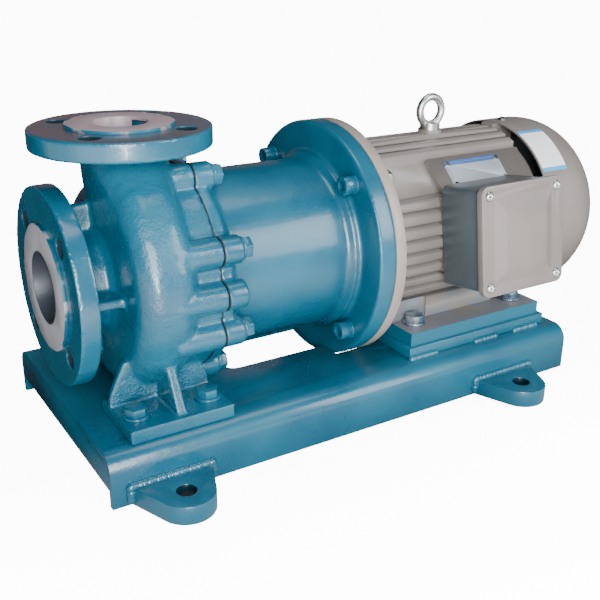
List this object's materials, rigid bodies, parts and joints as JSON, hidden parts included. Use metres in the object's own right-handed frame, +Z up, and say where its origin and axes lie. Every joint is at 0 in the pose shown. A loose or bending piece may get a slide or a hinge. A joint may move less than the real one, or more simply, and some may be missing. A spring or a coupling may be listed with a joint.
{
  "type": "magnetic drive pump",
  "caption": "Sealed process pump: a lined scroll casing with flanged suction and discharge, turned through a magnet coupling by a finned electric motor on a bent-plate base.",
  "frame": {"origin": "middle of the four anchor holes, on the base's underside", "axes": "+X along the shaft from the suction flange to the motor, +Z up, +Y away from the terminal box"},
  "size_m": [0.645, 0.374, 0.305],
  "materials": {
    "teal_enamel": "gloss enamel over rough castings and plate",
    "motor_paint": "semi-gloss grey paint",
    "flange_paint": "satin warm grey paint",
    "terminal_paint": "semi-gloss dark grey paint",
    "lining": "white fluoroplastic, slightly waxy",
    "silicon_carbide": "lapped dark ceramic",
    "impeller_plastic": "moulded white fluoroplastic",
    "carbon_shell": "wound fibre shell",
    "seal_rubber": "soft black seal",
    "magnet": "nickel-plated magnet",
    "drum_iron": "oiled iron",
    "dark_steel": "dark machined steel",
    "bright_steel": "bright turned or ground steel",
    "laminations": "stacked core sheet",
    "copper": "varnished copper coils",
    "cage_brass": "pressed cage",
    "fan_plastic": "moulded black plastic",
    "zinc": "zinc plate",
    "plate_aluminium": "brushed plate with two plain blue bands",
    "gasket_rubber": "flat black gasket",
    "board_plastic": "moulded thermoset",
    "stud_brass": "turned brass"
  },
  "bodies": {
    "pump_and_motor": {"base_channel": "teal_enamel", "base_end_plates": "teal_enamel", "anchor_lugs": "teal_enamel", "motor_packing_plates": "teal_enamel", "pump_foot_bolts": "teal_enamel", "pump_foot_washers": "teal_enamel", "pump_foot_nuts": "dark_steel", "motor_foot_bolts": "teal_enamel", "motor_foot_washers": "teal_enamel", "pump_casing": "teal_enamel", "casing_lining": "lining", "shaft_support": "lining", "front_thrust_ring": "silicon_carbide", "pump_shaft": "silicon_carbide", "isolation_liner": "lining", "isolation_shell": "carbon_shell", "casing_seal_ring": "seal_rubber", "lantern": "teal_enamel", "casing_bolts": "teal_enamel", "casing_bolt_washers": "teal_enamel", "lantern_screws": "teal_enamel", "lantern_spring_washers": "teal_enamel", "lantern_nuts": "zinc", "bearing_outer_rings": "bright_steel", "motor_flange_shield": "flange_paint", "motor_frame": "motor_paint", "stator_core": "laminations", "stator_windings": "copper", "rear_shield": "motor_paint", "fan_cowl": "motor_paint", "fan_cowl_screws": "zinc", "terminal_box": "terminal_paint", "terminal_gasket": "gasket_rubber", "terminal_cover": "motor_paint", "terminal_cover_screws": "zinc", "terminal_board": "board_plastic", "terminal_studs": "stud_brass", "lifting_eye": "zinc", "nameplate": "plate_aluminium", "nameplate_rivets": "zinc"},
    "drive_rotor": {"motor_shaft": "bright_steel", "drive_key": "dark_steel", "rotor_core": "laminations", "bearing_inner_rings": "bright_steel", "cooling_fan": "fan_plastic", "drive_magnet_drum": "drum_iron", "drive_magnets": "magnet"},
    "impeller_rotor": {"impeller": "impeller_plastic", "impeller_bush": "silicon_carbide", "inner_magnet_capsule": "impeller_plastic", "inner_yoke": "dark_steel", "inner_magnets": "magnet"},
    "ball_cages": {"bearing_balls": "bright_steel", "bearing_cages": "cage_brass"}
  },
  "joints": [
    {"name": "drive_spin", "type": "hinge", "parent": "pump_and_motor", "child": "drive_rotor", "pos_m": [0, 0, 0.162], "axis": [1, 0, 0], "continuous": true},
    {"name": "impeller_spin", "type": "hinge", "parent": "pump_and_motor", "child": "impeller_rotor", "pos_m": [0, 0, 0.162], "axis": [1, 0, 0], "continuous": true},
    {"name": "bearing_cage_spin", "type": "hinge", "parent": "pump_and_motor", "child": "ball_cages", "pos_m": [0, 0, 0.162], "axis": [1, 0, 0], "continuous": true}
  ],
  "couplings": [
    {"joint": "impeller_spin", "follows": "drive_spin", "ratio": 1},
    {"joint": "bearing_cage_spin", "follows": "drive_spin", "ratio": 0.39674}
  ]
}
